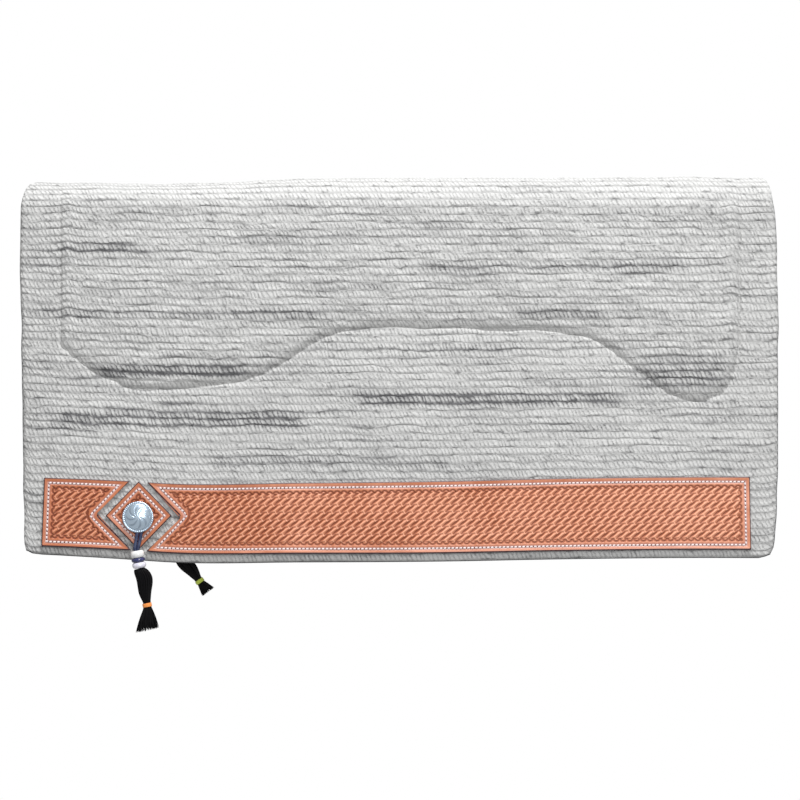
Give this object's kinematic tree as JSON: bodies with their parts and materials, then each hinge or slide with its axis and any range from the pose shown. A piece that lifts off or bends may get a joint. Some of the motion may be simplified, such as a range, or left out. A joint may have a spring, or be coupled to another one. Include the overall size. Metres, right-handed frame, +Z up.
{
  "type": "saddle pad",
  "caption": "Contoured western saddle pad folded over a rail: woven wool cover over felt, with tooled wear leathers and swinging beaded tassels.",
  "frame": {"origin": "on the axis of the rail that the folded pad hangs over, at half of the pad's length", "axes": "+X along the spine from the front end, where the conchos are, to the rear end; +Z up; the near side faces -Y and the off side +Y"},
  "size_m": [0.787, 0.1056, 0.4741],
  "materials": {
    "wool_cover": "woven heather wool, matte",
    "insert_felt": "pressed felt, matte",
    "base_felt": "pressed wool felt, matte",
    "fleece_lining": "short wool fleece, matte",
    "tooled_leather": "basket-stamped leather with dark painted edges and white stitching",
    "concho_silver": "engraved antique silver plate",
    "post_steel": "plain screw post",
    "thong_leather": "waxed navy lacing",
    "bead_white": "glossy",
    "bead_navy": "glossy",
    "bead_lilac": "glossy, faintly lilac",
    "horsehair": "straight black hair with a soft sheen",
    "band_orange": "wound thread",
    "band_green": "wound thread"
  },
  "bodies": {
    "spine": {"spine_cover": "wool_cover", "spine_insert": "insert_felt", "spine_felt": "base_felt", "spine_lining": "fleece_lining"},
    "near_bend": {"near_bend_cover": "wool_cover", "near_bend_insert": "insert_felt", "near_bend_felt": "base_felt", "near_bend_lining": "fleece_lining"},
    "near_flap": {"near_flap_cover": "wool_cover", "near_flap_insert": "insert_felt", "near_flap_felt": "base_felt", "near_flap_lining": "fleece_lining", "near_wear_leather_front": "tooled_leather", "near_wear_leather_diamond": "tooled_leather", "near_wear_leather_rear": "tooled_leather", "near_concho": "concho_silver", "near_concho_post": "post_steel", "near_concho_backplate": "post_steel"},
    "near_tassel": {"near_thong": "thong_leather", "near_bead_top": "bead_white", "near_bead_middle": "bead_navy", "near_bead_bottom": "bead_lilac", "near_horsehair": "horsehair", "near_tie_band": "band_orange"},
    "off_bend": {"off_bend_cover": "wool_cover", "off_bend_insert": "insert_felt", "off_bend_felt": "base_felt", "off_bend_lining": "fleece_lining"},
    "off_flap": {"off_flap_cover": "wool_cover", "off_flap_insert": "insert_felt", "off_flap_felt": "base_felt", "off_flap_lining": "fleece_lining", "off_wear_leather_front": "tooled_leather", "off_wear_leather_diamond": "tooled_leather", "off_wear_leather_rear": "tooled_leather", "off_concho": "concho_silver", "off_concho_post": "post_steel", "off_concho_backplate": "post_steel"},
    "off_tassel": {"off_thong": "thong_leather", "off_bead_top": "bead_white", "off_bead_middle": "bead_navy", "off_bead_bottom": "bead_lilac", "off_horsehair": "horsehair", "off_tie_band": "band_green"}
  },
  "joints": [
    {"name": "near_bend_fold", "type": "hinge", "parent": "spine", "child": "near_bend", "pos_m": [0, -0.01225, 0.02956], "axis": [-1, 0, 0], "range_deg": [0, 45]},
    {"name": "near_flap_fold", "type": "hinge", "parent": "near_bend", "child": "near_flap", "pos_m": [0, -0.02956, 0.01225], "axis": [-1, 0, 0], "range_deg": [0, 45]},
    {"name": "near_tassel_swing", "type": "hinge", "parent": "near_flap", "child": "near_tassel", "pos_m": [-0.2725, -0.0332, -0.32114], "axis": [0, -1, 0], "range_deg": [-50, 50]},
    {"name": "off_bend_fold", "type": "hinge", "parent": "spine", "child": "off_bend", "pos_m": [0, 0.01225, 0.02956], "axis": [1, 0, 0], "range_deg": [0, 45]},
    {"name": "off_flap_fold", "type": "hinge", "parent": "off_bend", "child": "off_flap", "pos_m": [0, 0.02956, 0.01225], "axis": [1, 0, 0], "range_deg": [0, 45]},
    {"name": "off_tassel_swing", "type": "hinge", "parent": "off_flap", "child": "off_tassel", "pos_m": [-0.2725, 0.0332, -0.32114], "axis": [0, -1, 0], "range_deg": [-88.5, 11.5]}
  ],
  "couplings": [
    {"joint": "near_flap_fold", "follows": "near_bend_fold", "ratio": 1},
    {"joint": "off_flap_fold", "follows": "off_bend_fold", "ratio": 1}
  ]
}
